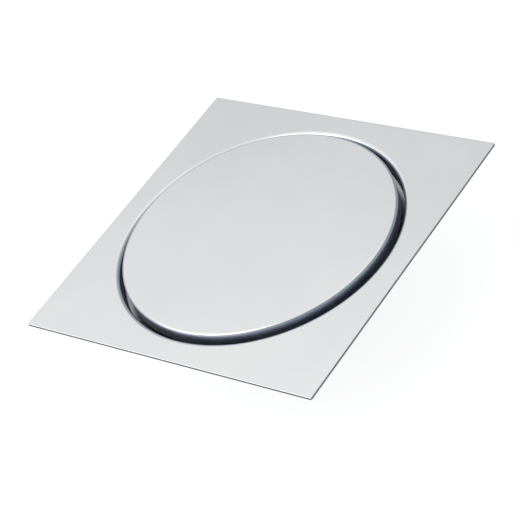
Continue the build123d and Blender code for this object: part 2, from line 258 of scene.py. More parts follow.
def bridge_rings(bm, rings):
    """Quads between neighbouring rings and from the last to the first. A lone vertex takes triangles."""
    for one, other in zip(rings, rings[1:] + rings[:1]):
        count = max(len(one), len(other))
        if count == 1:
            continue
        for k in range(count):
            after = (k + 1) % count
            corners = [one[k % len(one)], one[after % len(one)]]
            corners += [other[after % len(other)], other[k % len(other)]]
            bm.faces.new(list(dict.fromkeys(corners)))


def angles_round(count):
    return [2 * math.pi * k / count for k in range(count)]


def lathe(name, outline, count=192, shape=None):
    """A closed outline of (radius, height) points turned about the axis. shape gives new radii."""
    bm = bmesh.new()
    angles = angles_round(count)
    rings = []
    for radius, height in outline:
        ring = circle(bm, radius, height, angles)
        if shape is not None and len(ring) > 1:
            for vertex, angle in zip(ring, angles):
                share = shape(radius, height, angle) / radius
                vertex.co.x *= share
                vertex.co.y *= share
        rings.append(ring)
    bridge_rings(bm, rings)
    return finished(name, bm)


def blocks(name, boxes, bevel=0.0):
    """Boxes of (centre, size, turn about the drain's axis) as one mesh, with rounded edges."""
    bm = bmesh.new()
    for centre, size, turn in boxes:
        made = bmesh.ops.create_cube(bm, size=1)["verts"]
        for vertex in made:
            place = vertex.co * Vector(size) + Vector(centre)
            vertex.co = Matrix.Rotation(turn, 3, "Z") @ place * MM
    if bevel:
        offset = bevel * MM
        bmesh.ops.bevel(bm, geom=bm.edges[:], offset=offset, segments=3, affect="EDGES", profile=0.5)
    return finished(name, bm)


def drills(name, rows, radius, bottom, top):
    """Upright round cutters, one for each place on rows of (radius, count), as one mesh."""
    bm = bmesh.new()
    bore, depth = radius * MM, (top - bottom) * MM
    for row_r, count in rows:
        for angle in angles_round(count):
            made = bmesh.ops.create_cone(
                bm, cap_ends=True, segments=32, radius1=bore, radius2=bore, depth=depth,
            )["verts"]
            middle = (row_r * math.cos(angle), row_r * math.sin(angle), (bottom + top) / 2)
            bmesh.ops.translate(bm, verts=made, vec=Vector(middle) * MM)
    return finished(name, bm)


def combined(base, other, operation):
    """base with other added to it or cut from it. Other is used up."""
    base.modifiers.clear()
    modifier = base.modifiers.new("combine", "BOOLEAN")
    modifier.operation = operation
    modifier.solver = "EXACT"
    modifier.object = other
    bpy.context.view_layer.update()
    result = base.evaluated_get(bpy.context.evaluated_depsgraph_get())
    mesh = bpy.data.meshes.new_from_object(result)
    base.modifiers.clear()
    base.data = mesh
    bpy.data.objects.remove(other)
    return shaded(base)


def pressed(name, path, thickness, bend, rim=0.15):
    """A pressed sheet turned about the axis. Its wet side follows path and its back lies to the left."""
    points = [Vector(p) for p in path]
    spans = [(b - a).normalized() for a, b in zip(points, points[1:])]
    sides = [Vector((-s.y, s.x)) for s in spans]
    back = [points[0] + sides[0] * thickness]
    for point, before, after in zip(points[1:-1], sides, sides[1:]):
        back.append(point + (before + after) * (thickness / (1 + before.dot(after))))
    back.append(points[-1] + sides[-1] * thickness)
    wet_fillets, back_fillets = [rim], [rim]
    for before, after in zip(spans, spans[1:]):
        left = before.x * after.y - before.y * after.x > 0
        wet_fillets.append(bend + thickness if left else bend)
        back_fillets.append(bend if left else bend + thickness)
    wet_fillets.append(rim)
    back_fillets.append(rim)
    corners = [(p.x, p.y, f) for p, f in zip(points, wet_fillets)]
    corners += [(p.x, p.y, f) for p, f in reversed(list(zip(back, back_fillets)))]
    return lathe(name, rounded(corners, 10), 288)


def bead(name, radius, height, size, ripple=1.4):
    """A weld in a corner at (radius, height) that opens outwards and downwards, rippled along its run."""
    waves = round(2 * math.pi * radius / ripple)
    angles = angles_round(waves * 5)
    bm = bmesh.new()
    rings = [circle(bm, radius, height, angles)]
    for step in range(9):
        lean = math.pi / 2 * step / 8
        out, down = math.cos(lean), math.sin(lean)
        ring = circle(bm, radius, height, angles)
        for vertex, angle in zip(ring, angles):
            lap = (angle * waves / (2 * math.pi) + 0.3 * out * down) % 1
            far = size * (0.72 + 0.18 * abs(math.cos(2 * lean)) + 0.10 * math.sin(math.pi * lap)) * MM
            vertex.co += Vector((out * far * math.cos(angle), out * far * math.sin(angle), -down * far))
        rings.append(ring)
    bridge_rings(bm, rings)
    return finished(name, bm)


# ---------------------------------------------------------------- materials

class Nodes:
    """Short ways to add and link shader nodes."""

    def __init__(self, name):
        self.material = bpy.data.materials.new(name)
        self.material.use_nodes = True
        self.tree = self.material.node_tree
        self.shader = self.tree.nodes["Principled BSDF"]
        self.place = self.add("ShaderNodeTexCoord").outputs["Object"]

    def add(self, kind, **settings):
        """A new node with its properties set."""
        node = self.tree.nodes.new(kind)
        for key, value in settings.items():
            setattr(node, key, value)
        return node

    def link(self, source, target):
        self.tree.links.new(source, target)

    def into(self, socket, source):
        """Link the source to the surface shader."""
        self.link(source, self.shader.inputs[socket])

    def value(self, **sockets):
        """Set inputs of the surface shader. An underscore stands for a space."""
        for key, value in sockets.items():
            self.shader.inputs[key.replace("_", " ")].default_value = value

    def scaled(self, factors, source=None):
        """The source, or the place on the piece, scaled along each axis."""
        node = self.add("ShaderNodeMapping")
        node.inputs["Scale"].default_value = factors
        self.link(source or self.place, node.inputs["Vector"])
        return node.outputs["Vector"]

    def noise(self, vector, scale, detail=3.0, rough=0.5):
        node = self.add("ShaderNodeTexNoise")
        self.link(vector, node.inputs["Vector"])
        node.inputs["Scale"].default_value = scale
        node.inputs["Detail"].default_value = detail
        node.inputs["Roughness"].default_value = rough
        return node.outputs["Fac"]

    def between(self, source, to_low, to_high, from_low=0.0, from_high=1.0):
        """The source mapped from one range to another, and held inside it."""
        node = self.add("ShaderNodeMapRange")
        self.link(source, node.inputs["Value"])
        node.inputs["From Min"].default_value = from_low
        node.inputs["From Max"].default_value = from_high
        node.inputs["To Min"].default_value = to_low
        node.inputs["To Max"].default_value = to_high
        return node.outputs["Result"]

    def math(self, operation, *items):
        """The operation on numbers and sockets."""
        node = self.add("ShaderNodeMath", operation=operation)
        for socket, item in zip(node.inputs, items):
            if isinstance(item, (int, float)):
                socket.default_value = item
            else:
                self.link(item, socket)
        return node.outputs[0]

    def colours(self, factor, first, second):
        """A mix from first, a colour or a socket, to the colour second."""
        node = self.add("ShaderNodeMix", data_type="RGBA")
        self.link(factor, node.inputs["Factor"])
        if isinstance(first, tuple):
            node.inputs["A"].default_value = (*first, 1)
        else:
            self.link(first, node.inputs["A"])
        node.inputs["B"].default_value = (*second, 1)
        return node.outputs["Result"]

    def bump(self, height, distance, below=None):
        """The height as a bump, on top of the bump below if there is one."""
        node = self.add("ShaderNodeBump")
        node.inputs["Distance"].default_value = distance
        self.link(height, node.inputs["Height"])
        if below is not None:
            self.link(below, node.inputs["Normal"])
        return node.outputs["Normal"]

    def round_axis(self):
        """(distance from the drain's axis, height), so that a pattern runs round the axis."""
        parts = self.add("ShaderNodeSeparateXYZ")
        self.link(self.place, parts.inputs[0])
        squares = [self.math("MULTIPLY", parts.outputs[i], parts.outputs[i]) for i in (0, 1)]
        radius = self.math("SQRT", self.math("ADD", *squares))
        both = self.add("ShaderNodeCombineXYZ")
        self.link(radius, both.inputs[0])
        self.link(parts.outputs[2], both.inputs[1])
        return both.outputs[0]


def tinted(colour, *factors):
    """The colour with each channel multiplied."""
    return tuple(c * f for c, f in zip(colour, factors))


# Steep walls of the polished sheets: the slope at which they begin, their painted shade (a darker, bluer
# colour standing in for the dark groove) and added roughness
STEEP_WALL_SLOPE = 0.7
STEEP_WALL_PAINTED_SHADE = (0.51, 0.55, 0.64)
DRAWN_DULLNESS = 0.28


def polished_steel(name, colour, low_gloss, high_gloss, wave):
    """Satin polished sheet: slow waviness, cloudy tone and gloss, and fine grain along X.

    The steep walls below its bends are left duller, and carry painted shade: a darker, bluer colour in
    place of the groove's dark reflection.
    """
    n = Nodes(name)
    n.value(Metallic=1.0)
    parts = n.add("ShaderNodeSeparateXYZ")
    n.link(n.add("ShaderNodeTexCoord").outputs["Normal"], parts.inputs[0])
    # Mask of the steep walls: it carries both their added roughness and their painted shade.
    dull_and_painted_shade = n.between(n.math("ABSOLUTE", parts.outputs[2]), 1, 0, 0.1, STEEP_WALL_SLOPE)
    clouds = n.noise(n.place, 18, 3.0, 0.55)
    tone = n.between(clouds, 0, 1, 0.35, 0.65)
    face = n.colours(tone, tinted(colour, 0.955, 0.965, 0.97), colour)
    # Painted shade: the steep walls take a darker, bluer colour in place of the dark groove they face.
    n.into("Base Color", n.colours(dull_and_painted_shade, face, STEEP_WALL_PAINTED_SHADE))
    grain = n.noise(n.scaled((60, 6000, 6000)), 1.0, 3.0)
    smudges = n.noise(n.place, 55, 4.0, 0.6)
    smudged = n.between(smudges, low_gloss, high_gloss, 0.3, 0.7)
    gloss = n.math("ADD", smudged, n.between(grain, -0.02, 0.02))
    n.into("Roughness", n.math("ADD", gloss, n.math("MULTIPLY", dull_and_painted_shade, DRAWN_DULLNESS)))
    slow = n.bump(n.noise(n.place, 30, 1.0), wave)
    n.into("Normal", n.bump(grain, 0.4e-6, slow))
    return n.material


def pressed_steel(name, colour, low_gloss, high_gloss):
    """Mill-finish pressing: dull patches, draw lines round the axis and small dents."""
    n = Nodes(name)
    n.value(Metallic=1.0)
    patches = n.noise(n.place, 60, 4.0, 0.6)
    tone = n.between(patches, 0, 1, 0.3, 0.7)
    n.into("Base Color", n.colours(tone, tinted(colour, 0.88, 0.88, 0.885), colour))
    lines = n.noise(n.scaled((1500, 1500, 1), n.round_axis()), 1.0, 2.0)
    dull = n.between(patches, low_gloss, high_gloss, 0.3, 0.7)
    n.into("Roughness", n.math("ADD", dull, n.between(lines, -0.04, 0.04)))
    dents = n.bump(n.noise(n.place, 140, 2.0), 0.03 * MM)
    n.into("Normal", n.bump(lines, 2e-6, dents))
    return n.material


def turned_metal(name, colour, tarnish, low_gloss, high_gloss):
    """Machined metal: tool lines round the axis, with light tarnish in patches."""
    n = Nodes(name)
    n.value(Metallic=1.0)
    patches = n.noise(n.place, 120, 4.0, 0.6)
    n.into("Base Color", n.colours(n.between(patches, 0, 1, 0.45, 0.75), colour, tarnish))
    lines = n.noise(n.scaled((4000, 4000, 1), n.round_axis()), 1.0, 2.0)
    dull = n.between(patches, low_gloss, high_gloss)
    n.into("Roughness", n.math("ADD", dull, n.between(lines, -0.03, 0.03)))
    n.into("Normal", n.bump(lines, 3e-6))
    return n.material


def cut_edge(name):
    """Laser-cut edge of the plate: dark, dull and ribbed through the thickness."""
    n = Nodes(name)
    n.value(Metallic=0.85)
    ribs = n.noise(n.scaled((5000, 5000, 300)), 1.0, 3.0)
    n.into("Base Color", n.colours(ribs, (0.05, 0.052, 0.055), (0.16, 0.16, 0.165)))
    n.into("Roughness", n.between(ribs, 0.35, 0.6))
    n.into("Normal", n.bump(ribs, 0.01 * MM))
    return n.material


def weld_metal(name):
    """TIG bead left as welded: straw and blue heat tint in bands, with scattered dull oxide."""
    n = Nodes(name)
    n.value(Metallic=0.95)
    bands = n.noise(n.place, 160, 3.0)
    tone = n.between(bands, 0, 1, 0.35, 0.65)
    n.into("Base Color", n.colours(tone, (0.40, 0.37, 0.31), (0.31, 0.32, 0.35)))
    oxide = n.noise(n.place, 900, 3.0)
    n.into("Roughness", n.between(oxide, 0.28, 0.5))
    n.into("Normal", n.bump(oxide, 0.02 * MM))
    return n.material


def moulded_rubber(name):
    """Black EPDM: matt, finely pitted, with a little grey bloom."""
    n = Nodes(name)
    n.value(Specular_IOR_Level=0.35)
    bloom = n.noise(n.place, 90, 5.0, 0.65)
    tone = n.between(bloom, 0, 1, 0.4, 0.8)
    n.into("Base Color", n.colours(tone, (0.013, 0.013, 0.014), (0.045, 0.045, 0.047)))
    n.into("Roughness", n.between(bloom, 0.5, 0.75))
    n.into("Normal", n.bump(n.noise(n.place, 2500, 2.0), 0.01 * MM))
    return n.material


def moulded_plastic(name, colour, low_gloss, high_gloss):
    """Injection-moulded plastic: spark-eroded texture, slight flow marks and uneven tone."""
    n = Nodes(name)
    clouds = n.noise(n.place, 45, 3.0)
    tone = n.between(clouds, 0, 1, 0.3, 0.7)
    n.into("Base Color", n.colours(tone, tinted(colour, 0.93, 0.93, 0.92), colour))
    n.into("Roughness", n.between(clouds, low_gloss, high_gloss, 0.3, 0.7))
    flow = n.bump(n.noise(n.place, 120, 1.0), 0.01 * MM)
    n.into("Normal", n.bump(n.noise(n.place, 3500, 2.0), 0.006 * MM, flow))
    return n.material


EDGE = cut_edge("stainless_cut_edge")
HEAT_TINT = weld_metal("stainless_weld")
# The material of each slot: how it is made, its colours, its lowest and highest roughness, its waves
RECIPES = {
    "stainless_polished": (polished_steel, (0.805, 0.81, 0.815), 0.06, 0.12, 0.02 * MM),
    "stainless_pressed": (pressed_steel, (0.52, 0.527, 0.535), 0.24, 0.38),
    "stainless_perforated": (pressed_steel, (0.64, 0.645, 0.65), 0.16, 0.26),
    "stainless_turned": (turned_metal, (0.66, 0.665, 0.67), (0.56, 0.56, 0.56), 0.14, 0.24),
    "steel_bright": (turned_metal, (0.74, 0.745, 0.75), (0.66, 0.66, 0.66), 0.10, 0.18),
    "brass": (turned_metal, (0.80, 0.60, 0.29), (0.58, 0.40, 0.18), 0.16, 0.32),
    "rubber_black": (moulded_rubber,),
    "plastic_white": (moulded_plastic, (0.80, 0.80, 0.77), 0.32, 0.45),
    "plastic_grey": (moulded_plastic, (0.17, 0.18, 0.195), 0.35, 0.5),
    "plastic_acetal": (moulded_plastic, (0.83, 0.81, 0.75), 0.22, 0.32),
}
MATERIALS = {slot: recipe(slot, *looks) for slot, (recipe, *looks) in RECIPES.items()}
SLOT_OF = {row["node"]: row["material_slot"] for row in frame["record"]["subparts"]}
BODIES = frame["record"]["behaviour"]["bodies"]
BODY_OF = {node: body for body, nodes in BODIES.items() for node in nodes}


def stands_for(node, piece):
    """The piece takes over from the CAD node, with its body and slot."""
    if not piece.data.materials:
        piece.data.materials.append(MATERIALS[SLOT_OF[node]])
    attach(piece, BODY_OF[node])
    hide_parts(node)


def goes_with(node, piece, material):
    """The piece adds detail to the CAD node: a weld, say."""
    piece.data.materials.append(material)
    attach(piece, BODY_OF[node])


# ---------------------------------------------------------------- frame plate

def square(bm, half, height, angles):
    """Vertices where rays at the angles meet a square with rounded corners."""
    ring = []
    core = half - PLATE_CORNER
    for angle in angles:
        c, s = abs(math.cos(angle)), abs(math.sin(angle))
        far = half / max(c, s)
        if far * c > core and far * s > core:
            along = core * (c + s)
            far = along + math.sqrt(max(along ** 2 - 2 * core ** 2 + PLATE_CORNER ** 2, 0))
        out = far * MM
        ring.append(bm.verts.new((out * math.cos(angle), out * math.sin(angle), height * MM)))
    return ring


def plate_angles():
    """Even angles, with extra ones at each corner so that its small radius is round."""
    angles = set(angles_round(384))
    core = PLATE_HALF - PLATE_CORNER
    for step in range(9):
        lean = math.pi / 2 * step / 8
        x, y = core + PLATE_CORNER * math.cos(lean), core + PLATE_CORNER * math.sin(lean)
        angle = math.atan2(y, x)
        angles |= {(angle + quarter * math.pi / 2) % (2 * math.pi) for quarter in range(4)}
    angles = sorted(angles)
    return [a for a, before in zip(angles, [-1.0] + angles) if a - before > 1e-5]


def plate_sheet():
    """Square sheet with slightly rounded edges. The hole's edge is rolled over and turned down."""
    bm = bmesh.new()
    angles = plate_angles()
    under = PLATE_TOP - SHEET
    bottom = low("frame_plate")
    rings = [square(bm, PLATE_HALF - 2, under, angles), square(bm, PLATE_HALF - 0.1, under, angles)]
    rings.append(square(bm, PLATE_HALF, under + 0.1, angles))
    for step in range(5):
        lean = math.pi / 2 * step / 4
        inset = PLATE_EDGE * (1 - math.cos(lean))
        drop = PLATE_EDGE * (1 - math.sin(lean))
        rings.append(square(bm, PLATE_HALF - inset, PLATE_TOP - drop, angles))
    rings.append(square(bm, PLATE_HALF - 2 * PLATE_EDGE, PLATE_TOP, angles))
    hole = [
        (HOLE_R + LIP_R + 6, PLATE_TOP, 0),
        (HOLE_R + LIP_R + 0.3, PLATE_TOP, 0),
        (HOLE_R, PLATE_TOP, LIP_R),
        (HOLE_R, bottom, 0.15),
        (HOLE_R + SHEET, bottom, 0.15),
        (HOLE_R + SHEET, under, 0),
        (HOLE_R + SHEET + 2, under, 0),
    ]
    rings += [circle(bm, radius, height, angles) for radius, height in rounded(hole, 12)]
    bridge_rings(bm, rings)
    piece = finished("plate_sheet", bm)
    piece.data.materials.append(MATERIALS["stainless_polished"])
    piece.data.materials.append(EDGE)
    side = (PLATE_HALF - PLATE_EDGE / 3) * MM
    for polygon in piece.data.polygons:
        middle = polygon.center
        at_side = max(abs(middle.x), abs(middle.y)) > side
        if at_side and middle.z < (PLATE_TOP - PLATE_EDGE) * MM:
            polygon.material_index = 1
    return piece


pan_wall_r = HOLE_R + SHEET + FIT
stands_for("frame_plate", plate_sheet())
plate_weld = bead("plate_weld", pan_wall_r + PAN_SHEET + FIT, PLATE_TOP - SHEET, PLATE_WELD)
goes_with("frame_plate", plate_weld, HEAT_TINT)

# ---------------------------------------------------------------- pan, cup and outlet

pan_path = (
    (pan_wall_r, high("channel_pan")),
    (pan_wall_r, CHANNEL_Z),
    (LEDGE_R, LEDGE_Z),
    (CUP_R, LEDGE_Z),
)
cup_flange_r, cup_flange_z, cup_floor = reach("trap_cup"), high("trap_cup"), high("outlet_spigot")
cup_path = (
    (cup_flange_r, cup_flange_z),
    (CUP_R, cup_flange_z),
    (CUP_R, cup_floor),
    (OUTLET_R + FIT, cup_floor),
)
stands_for("channel_pan", pressed("pan_pressing", pan_path, PAN_SHEET, PAN_BEND))
stands_for("trap_cup", pressed("cup_pressing", cup_path, PAN_SHEET, PAN_BEND))
goes_with("trap_cup", bead("cup_weld", cup_flange_r, cup_flange_z, CUP_WELD), HEAT_TINT)


def spigot():
    """Outlet tube with a chamfered mouth, a seat for the collar and a flange under the cup's floor."""
    flange_top = cup_floor - PAN_SHEET
    flange_bottom = flange_top - OUTLET_FLANGE
    flange_r = reach("outlet_spigot")
    return lathe("outlet_tube", rounded([
        (OUTLET_BORE_R, low("outlet_spigot"), 0.2),
        (OUTLET_R - OUTLET_CHAMFER, low("outlet_spigot"), 0.3),
        (OUTLET_R, OUTLET_CHAMFER_Z, 0.6),
        (OUTLET_R, COLLAR_SEAT_Z, 0.1),
        (COLLAR_SEAT_R, COLLAR_SEAT_Z, 0.1),
        (COLLAR_SEAT_R, flange_bottom, 0.2),
        (flange_r, flange_bottom, 0.3),
        (flange_r, flange_top, 0.1),
        (OUTLET_R, flange_top, 0),
        (OUTLET_R, cup_floor, 0.1),
        (OUTLET_BORE_R, cup_floor, 0.4),
    ], 4))


def collar():
    """Rubber sleeve with sloping fins round it."""
    bottom, top = low("pipe_collar"), high("pipe_collar")
    inner = COLLAR_SEAT_R + FIT
    base = inner + COLLAR_WALL
    tip = reach("pipe_collar")
    pitch = (top - bottom) / FIN_COUNT
    corners = [(inner, bottom, 0.15)]
    tip_low, tip_high = FIN_TIP_Z
    for index in range(FIN_COUNT):
        root = bottom + index * pitch
        corners += [
            (base, root, 0.15),
            (tip, root + tip_low, 0.25),
            (tip, root + tip_high, 0.25),
            (base, root + FIN_ROOT_Z, 0.3),
        ]
        if index < FIN_COUNT - 1:
            corners.append((base, root + pitch - FIN_FOOT, 0))
    corners += [(base, root + pitch, 0.2), (inner, top, 0.15)]
    return lathe("finned_collar", rounded(corners, 4))


stands_for("outlet_spigot", spigot())
outlet_weld = bead("outlet_weld", reach("outlet_spigot"), cup_floor - PAN_SHEET, OUTLET_WELD)
goes_with("outlet_spigot", outlet_weld, HEAT_TINT)
stands_for("pipe_collar", collar())

seat_bottom, seat_top, seat_r = low("seat_ring"), high("seat_ring"), reach("seat_ring")
stands_for("seat_ring", lathe("turned_seat", rounded([
    (SEAT_LOWER_BORE_R, seat_bottom, 0.3),
    (CUP_R - FIT, seat_bottom, 0.5),
    (CUP_R - FIT, LEDGE_Z, 0),
    (seat_r, LEDGE_Z, 0.1),
    (seat_r, seat_top, 0.7),
    (SEAT_BORE_R, seat_top, 0.35),
    (SEAT_BORE_R, SEAT_STEP_Z, 0.1),
    (SEAT_LOWER_BORE_R, SEAT_STEP_Z, 0.2),
], 4), 288))

# ---------------------------------------------------------------- strainer basket

basket_bottom, basket_top = low("strainer_basket"), high("strainer_basket")
strainer_bottom = low("strainer_plate")


def basket():
    """Flanged basket with a seal groove, a ledge for the strainer and a slotted wall."""
    shoulder_z = SEAL_GROOVE_Z - BASKET_SHOULDER
    groove_top = SEAL_GROOVE_Z + SEAL_GROOVE
    flange_bottom = SEAT_STEP_Z + FIT
    body = lathe("basket_moulding", rounded([
        (BASKET_LEDGE_R, basket_bottom, 0.3),
        (BASKET_R, basket_bottom, 0.8),
        (BASKET_R, shoulder_z, 0.2),
        (BASKET_SHOULDER_R, shoulder_z, 0.25),
        (BASKET_SHOULDER_R, SEAL_GROOVE_Z, 0.15),
        (SEAL_GROOVE_R, SEAL_GROOVE_Z, 0.15),
        (SEAL_GROOVE_R, groove_top, 0.15),
        (BASKET_SHOULDER_R, groove_top, 0.15),
        (BASKET_SHOULDER_R, flange_bottom, 0.1),
        (reach("strainer_basket"), flange_bottom, 0.2),
        (reach("strainer_basket"), basket_top, 0.3),
        (BASKET_BORE_R, basket_top, 0.4),
        (BASKET_BORE_R, strainer_bottom, 0.1),
        (BASKET_LEDGE_R, strainer_bottom, 0.2),
    ], 4))
    middle = strainer_bottom + STRAINER_SHEET + SLOT_RISE + SLOT_HEIGHT / 2
    centre = ((BASKET_R + BASKET_BORE_R) / 2, 0, middle)
    slots = [(centre, (6, SLOT_WIDTH, SLOT_HEIGHT), angle) for angle in angles_round(SLOT_COUNT)]
    return combined(body, blocks("slots", slots, SLOT_WIDTH * 0.45), "DIFFERENCE")


def strainer():
    """Perforated disc with a raised rim round its middle hole."""
    bottom, top = strainer_bottom, high("strainer_plate")
    face = bottom + STRAINER_SHEET
    disc = lathe("perforated_disc", rounded([
        (STRAINER_BORE_R, bottom, 0.6),
        (BASKET_BORE_R - FIT, bottom, 0.1),
        (BASKET_BORE_R - FIT, face, 0.2),
        (STRAINER_BORE_R + STRAINER_SHEET, face, 0.4),
        (STRAINER_BORE_R + STRAINER_SHEET, top, 0.2),
        (STRAINER_BORE_R, top, 0.3),
    ], 4))
    holes = drills("holes", STRAINER_ROWS, STRAINER_HOLE_R, bottom - 1, face + 1)
    return combined(disc, holes, "DIFFERENCE")


def o_ring():
    """O-ring lying in the basket's groove."""
    middle = SEAL_GROOVE_Z + SEAL_GROOVE / 2
    centre = SEAL_GROOVE_R + SEAL_WIRE_R + FIT / 2
    return lathe("basket_o_ring", [
        (centre + SEAL_WIRE_R * math.cos(angle), middle + SEAL_WIRE_R * math.sin(angle))
        for angle in angles_round(20)
    ])


stands_for("strainer_basket", basket())
stands_for("strainer_plate", strainer())
stands_for("basket_seal", o_ring())

# ---------------------------------------------------------------- bridge and click cartridge

bridge_top, hub_top = high("insert_bridge") - HUB_PROUD, high("insert_bridge")
bridge_ring_bottom = basket_top + FIT


def bridge():
    """Ring with a locating lip, and three arms to the hub that holds the cartridge."""
    lip_bottom = bridge_ring_bottom - BRIDGE_LIP
    body = lathe("bridge_moulding", rounded([
        (BRIDGE_BORE_R, lip_bottom, 0.3),
        (BRIDGE_LIP_R, lip_bottom, 0.3),
        (BRIDGE_LIP_R, bridge_ring_bottom, 0.1),
        (reach("insert_bridge"), bridge_ring_bottom, 0.2),
        (reach("insert_bridge"), bridge_top, 0.4),
        (BRIDGE_BORE_R, bridge_top, 0.4),
    ], 4))
    hub = lathe("hub", rounded([
        (TUBE_R + FIT, HUB_BOTTOM, 0.2),
        (HUB_R, HUB_BOTTOM, 0.5),
        (HUB_R, hub_top, 0.5),
        (TUBE_R + FIT, hub_top, 0.2),
    ], 4), 128)
    inner, outer = HUB_R - 1.0, BRIDGE_BORE_R + 0.8
    size = (outer - inner, ARM_WIDTH, bridge_top - ARM_BOTTOM)
    centre = ((outer + inner) / 2, 0, (bridge_top + ARM_BOTTOM) / 2)
    arms = blocks("arms", [(centre, size, a + math.pi / 2) for a in angles_round(3)], 0.6)
    return combined(combined(body, hub, "UNION"), arms, "UNION")


def threaded(radius, height, angle):
    """A sharp-crested thread on the tube's outer wall, between its plain ends."""
    bottom, top = low("cartridge_tube") + PLAIN_FOOT, high("cartridge_tube") - PLAIN_TOP
    if radius < TUBE_R - 0.01 or not bottom < height < top:
        return radius
    turn = (height / THREAD_PITCH - angle / (2 * math.pi)) % 1
    fade = min(1.0, (height - bottom) / THREAD_PITCH, (top - height) / THREAD_PITCH)
    return radius - THREAD_DEPTH * fade * (1 - min(1.0, 2.4 * abs(turn - 0.5)))


def tube():
    """Threaded tube, bored for spring and cam, with keyways for the cross pin."""
    bottom, top = low("cartridge_tube"), high("cartridge_tube")
    rows = 210
    run = top - bottom - TUBE_CHAMFER
    outline = [(SPRING_BORE_R, bottom), (TUBE_R - TUBE_CHAMFER, bottom)]
    outline += [(TUBE_R, bottom + TUBE_CHAMFER + run * k / rows) for k in range(rows + 1)]
    outline += [(CAM_BORE_R, top), (CAM_BORE_R, SHOULDER_Z), (SPRING_BORE_R, SHOULDER_Z)]
    body = lathe("threaded_tube", outline, 96, threaded)
    pin_low, pin_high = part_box("cross_pin")
    keyway_bottom = pin_low.z / MM - PRESS_DOWN - PIN_PLAY
    size = (2 * (pin_high.x / MM + PIN_PLAY), 2 * (PIN_R + PIN_PLAY), top + 1 - keyway_bottom)
    keyway = blocks("keyway", [((0, 0, keyway_bottom + size[2] / 2), size, 0.0)])
    return combined(body, keyway, "DIFFERENCE")


tube_top, head_top = high("cartridge_tube"), high("cartridge_head")
head_r = reach("cartridge_head")


def head():
    """Flanged head that plugs the tube, with a counterbore for the wiper and notches for a key."""
    bore = ROD_R + FIT
    wiper_floor = head_top - WIPER_DEPTH
    body = lathe("flanged_head", rounded([
        (bore, low("cartridge_head"), 0.2),
        (CAM_BORE_R - FIT, low("cartridge_head"), 0.3),
        (CAM_BORE_R - FIT, tube_top, 0),
        (head_r, tube_top, 0.1),
        (head_r, head_top, 0.4),
        (SPRING_BORE_R, head_top, 0.15),
        (SPRING_BORE_R, wiper_floor, 0.1),
        (bore, wiper_floor, 0.1),
    ], 4), 128)
    row = (head_r - HEAD_NOTCH_INSET, 4)
    notches = drills("notches", (row,), HEAD_NOTCH_R, head_top - HEAD_NOTCH_DEPTH, head_top + 1)
    return combined(body, notches, "DIFFERENCE")


def wiper():
    """Rubber ring with a lip round the rod."""
    bottom, top = low("rod_wiper"), high("rod_wiper")
    return lathe("lipped_wiper", rounded([
        (ROD_R + 0.3, bottom, 0.1),
        (SPRING_BORE_R - FIT, bottom, 0.15),
        (SPRING_BORE_R - FIT, top, 0.2),
        (ROD_R + 1.0, top, 0.1),
        (ROD_R + 0.75, top - 0.35, 0.1),
        (ROD_R + 0.3, top, 0.05),
    ], 4), 96)


nut_low, nut_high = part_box("cartridge_nut")
nut_bottom, nut_top = nut_low.z / MM, nut_high.z / MM
nut_flat = min(nut_high.x, nut_high.y) / MM
nut_turn = 0.0 if nut_high.x > nut_high.y else math.pi / 6


def hexagonal(radius, height, angle):
    """The nut's flats, cut back at both ends by a cone."""
    if radius < nut_flat - 1:
        return radius
    side = nut_flat / math.cos((angle + nut_turn) % (math.pi / 3) - math.pi / 6)
    cone = nut_flat - 0.3 + 1.35 * min(height - nut_bottom, nut_top - height)
    return min(side, cone)


def nut():
    """Hexagon nut with a chamfered bore."""
    bore = TUBE_R + FIT
    rows = 24
    thickness = nut_top - nut_bottom
    outline = [(bore + 0.5, nut_bottom)]
    outline += [(nut_flat, nut_bottom + thickness * k / rows) for k in range(rows + 1)]
    outline += [(bore + 0.5, nut_top), (bore, nut_top - 0.5), (bore, nut_bottom + 0.5)]
    return lathe("hexagon_nut", outline, 192, hexagonal)


def toothed(radius, height, angle):
    """Small teeth round the outside of the lock washer."""
    if radius < nut_flat - 1.5:
        return radius
    in_gap = (angle * TOOTH_COUNT / (2 * math.pi)) % 1 < TOOTH_GAP
    return radius - TOOTH_DEPTH * (1 if in_gap else 0)


def cap():
    """Plug in the tube's foot, with a drain hole and a slot for a screwdriver."""
    bottom, top = low("cartridge_cap"), high("cartridge_cap")
    body = lathe("slotted_cap", eased([
        (CAP_HOLE_R, bottom),
        (SPRING_BORE_R - FIT, bottom),
        (SPRING_BORE_R - FIT, top),
        (CAP_HOLE_R, top),
    ]), 96)
    slot = blocks("slot", [((0, 0, bottom), (2 * SPRING_BORE_R + 1, CAP_SLOT, CAP_SLOT), 0.5)])
    return combined(body, slot, "DIFFERENCE")


def pin():
    """Dowel with rounded ends, lying along X."""
    middle = (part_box("cross_pin")[0].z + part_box("cross_pin")[1].z) / 2
    half = reach("cross_pin")
    body = lathe("dowel_pin", rounded([
        (0, -half, 0),
        (PIN_R, -half, 0.3),
        (PIN_R, half, 0.3),
        (0, half, 0),
    ], 4), 48)
    body.data.transform(Matrix.Translation((0, 0, middle)) @ Matrix.Rotation(math.pi / 2, 4, "Y"))
    return body


def rod_thread(radius, height, angle):
    """Thread on the rod's top end, which the lid's insert sits on."""
    start = low("lid_insert")
    if radius < ROD_R - 0.01 or height < start or height > high("plunger_rod") - 0.8:
        return radius
    turn = (height / ROD_PITCH - angle / (2 * math.pi)) % 1
    depth = ROD_THREAD_DEPTH * min(1.0, height - start)
    return radius - depth * (1 - min(1.0, 2.3 * abs(turn - 0.5)))


